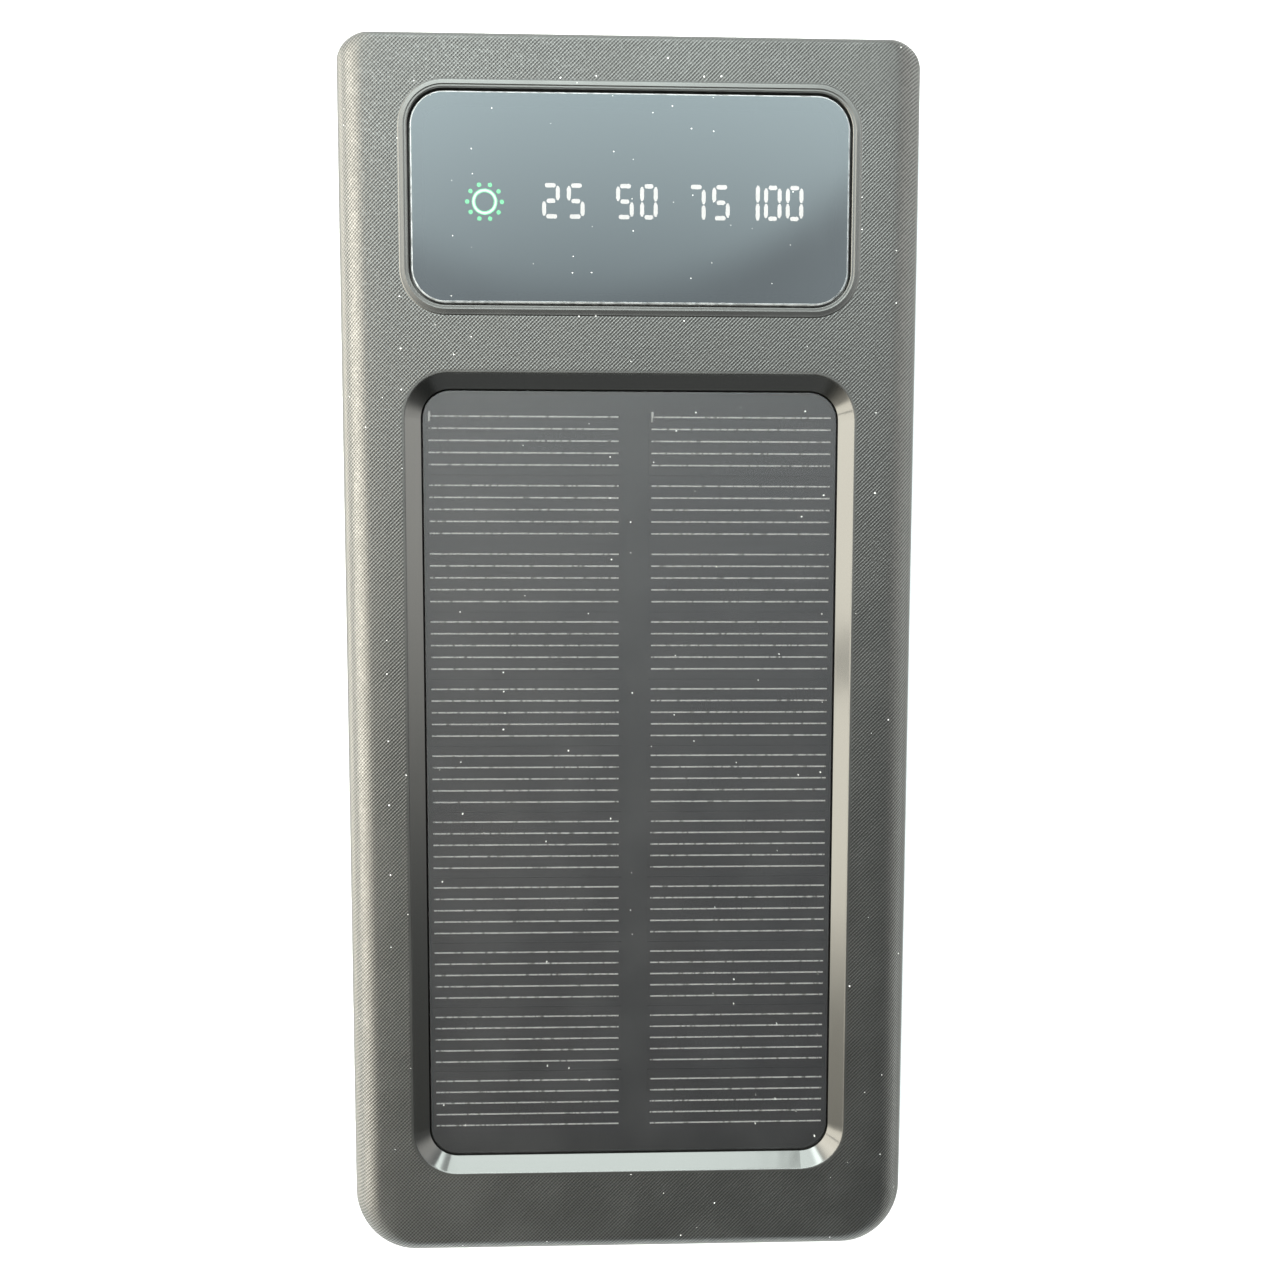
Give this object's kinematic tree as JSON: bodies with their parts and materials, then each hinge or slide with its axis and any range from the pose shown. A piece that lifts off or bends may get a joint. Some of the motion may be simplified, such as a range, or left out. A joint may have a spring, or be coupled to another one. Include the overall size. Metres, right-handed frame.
{
  "type": "solar phone charger",
  "caption": "Slim solar power bank: textured black case, recessed solar panel, smoked display with sun symbol and charge level numbers, USB sockets at one end.",
  "frame": {"origin": "on the flat back face, under the middle of the case", "axes": "+X to the right seen from the front, +Y along the case towards the sockets and display, +Z out of the front face with the solar panel"},
  "size_m": [0.07, 0.148, 0.0173],
  "materials": {
    "case_plastic": "black moulded plastic with a fine diagonal twill texture, gloss in the sloped recess wall",
    "panel_plastic": "gloss black moulded plastic",
    "button_plastic": "satin black",
    "screw_steel": "black zinc plated steel",
    "smoked_lens": "smoked acrylic, polished",
    "adhesive": "black foam tape",
    "number_light": "milky light guide, lit warm white",
    "sun_light": "milky light guide, lit green white",
    "shade_plastic": "matt black",
    "circuit_board": "green solder mask",
    "panel_board": "black glass fibre board",
    "solar_film": "clear laminate film, satin",
    "solar_cell": "near black silicon",
    "finger_silver": "printed silver",
    "diode": "yellow phosphor on white",
    "ribbon": "amber polyimide",
    "pouch_foil": "silver laminate foil",
    "pad_foam": "closed cell foam",
    "tab_nickel": "nickel strip",
    "chip_plastic": "moulded epoxy",
    "inductor": "pressed ferrite",
    "capacitor": "tan ceramic",
    "socket_steel": "nickel plated steel",
    "socket_plastic": "black",
    "contact_gold": "gold plated",
    "lamp_epoxy": "clear epoxy",
    "lamp_leg": "tinned wire",
    "switch_body": "black",
    "switch_plunger": "white",
    "lead_red": "silicone",
    "lead_black": "silicone"
  },
  "bodies": {
    "case": {"front_housing": "case_plastic", "back_cover": "case_plastic", "port_panel": "panel_plastic", "case_screws": "screw_steel", "board_screws": "screw_steel", "display_lens": "smoked_lens", "lens_adhesive": "adhesive", "solar_adhesive": "adhesive", "level_25": "number_light", "level_50": "number_light", "level_75": "number_light", "level_100": "number_light", "sun_light": "sun_light", "light_shade": "shade_plastic", "main_board": "circuit_board", "protection_board": "circuit_board", "light_board": "circuit_board", "solar_board": "panel_board", "solar_film": "solar_film", "solar_cells_left": "solar_cell", "solar_cells_right": "solar_cell", "cell_fingers": "finger_silver", "light_diodes": "diode", "display_ribbon": "ribbon", "battery_cell_upper": "pouch_foil", "battery_cell_lower": "pouch_foil", "cell_pad": "pad_foam", "floor_pad": "pad_foam", "cell_tabs": "tab_nickel", "control_chips": "chip_plastic", "protection_chips": "chip_plastic", "power_inductor": "inductor", "board_capacitors": "capacitor", "usb_a_shell_left": "socket_steel", "usb_a_shell_right": "socket_steel", "usb_c_shell": "socket_steel", "usb_a_tongues": "socket_plastic", "usb_c_tongue": "socket_plastic", "usb_a_contacts": "contact_gold", "usb_c_contacts": "contact_gold", "torch_lamp_left": "lamp_epoxy", "torch_lamp_right": "lamp_epoxy", "torch_legs": "lamp_leg", "tact_switch": "switch_body", "battery_lead_red": "lead_red", "solar_lead_red": "lead_red", "battery_lead_black": "lead_black", "solar_lead_black": "lead_black"},
    "button": {"power_button": "button_plastic", "switch_plunger": "switch_plunger"}
  },
  "joints": [
    {"name": "power_button_press", "type": "slide", "parent": "case", "child": "button", "axis": [-1, 0, 0], "range_m": [0, 0.0004], "stiffness_N_per_m": 900, "springref_m": -0.0006}
  ]
}
